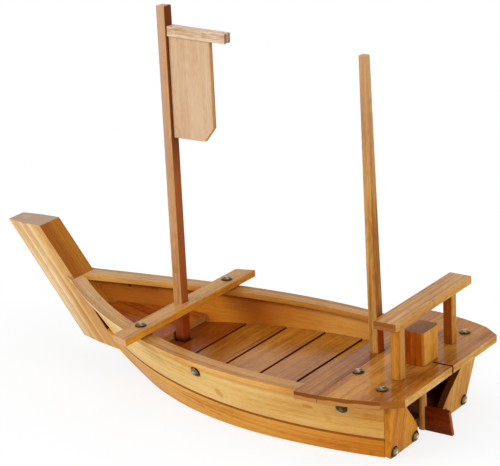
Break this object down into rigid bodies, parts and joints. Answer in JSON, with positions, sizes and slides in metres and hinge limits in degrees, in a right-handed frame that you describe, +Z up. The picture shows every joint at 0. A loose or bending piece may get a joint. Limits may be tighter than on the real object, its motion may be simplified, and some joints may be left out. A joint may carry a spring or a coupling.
{
  "type": "sushi boat",
  "caption": "Wooden serving boat with a tall raked stem, a slatted serving well, a thwart with a lift-out mast and flag, a stern deck with a gallows, and a turning rudder.",
  "frame": {"origin": "middle of the boat's box, on the surface that it stands on", "axes": "+X towards the stern, +Y towards starboard as it is drawn, +Z up; the bow points to -X"},
  "size_m": [0.496, 0.224, 0.366],
  "materials": {
    "stem_wood": "clear satin lacquer",
    "pale_plank": "clear satin lacquer",
    "amber_plank": "clear satin lacquer",
    "rail_wood": "clear satin lacquer",
    "floor_wood": "clear satin lacquer",
    "deck_wood": "clear satin lacquer",
    "spar_wood": "clear satin lacquer",
    "flag_wood": "clear satin lacquer",
    "dark_wood": "clear satin lacquer",
    "brass_tack": "polished, darkened in the rim"
  },
  "bodies": {
    "hull": {"stem_post": "stem_wood", "port_lower_strake": "amber_plank", "starboard_lower_strake": "amber_plank", "port_upper_strake": "pale_plank", "starboard_upper_strake": "pale_plank", "port_rail": "rail_wood", "starboard_rail": "rail_wood", "bottom_board": "dark_wood", "port_floor_bearer": "dark_wood", "starboard_floor_bearer": "dark_wood", "floor_slat_1": "floor_wood", "floor_slat_2": "floor_wood", "floor_slat_3": "floor_wood", "floor_slat_4": "floor_wood", "floor_slat_5": "floor_wood", "fore_bearer": "dark_wood", "fore_platform": "floor_wood", "aft_bulkhead": "dark_wood", "thwart": "rail_wood", "mast_step": "dark_wood", "deck_beam": "dark_wood", "deck_front_board": "deck_wood", "deck_aft_board": "deck_wood", "port_transom": "amber_plank", "starboard_transom": "amber_plank", "port_gallows_post": "deck_wood", "starboard_gallows_post": "deck_wood", "gallows_beam": "rail_wood", "brass_tacks": "brass_tack"},
    "mast": {"mast": "spar_wood", "yard": "flag_wood", "flag_board": "flag_wood"},
    "rear_mast": {"rear_mast": "spar_wood"},
    "rudder": {"rudder_head": "stem_wood", "rudder_stock": "spar_wood", "rudder_blade": "dark_wood"}
  },
  "joints": [
    {"name": "mast_lift", "type": "slide", "parent": "hull", "child": "mast", "axis": [0, 0, 1], "range_m": [0, 0.07]},
    {"name": "rear_mast_lift", "type": "slide", "parent": "hull", "child": "rear_mast", "axis": [-0.0192, 0, 0.9998], "range_m": [0, 0.025]},
    {"name": "rudder_turn", "type": "hinge", "parent": "hull", "child": "rudder", "pos_m": [0.2168, 0, 0.07], "axis": [0, 0, 1], "range_deg": [-30, 30]}
  ]
}
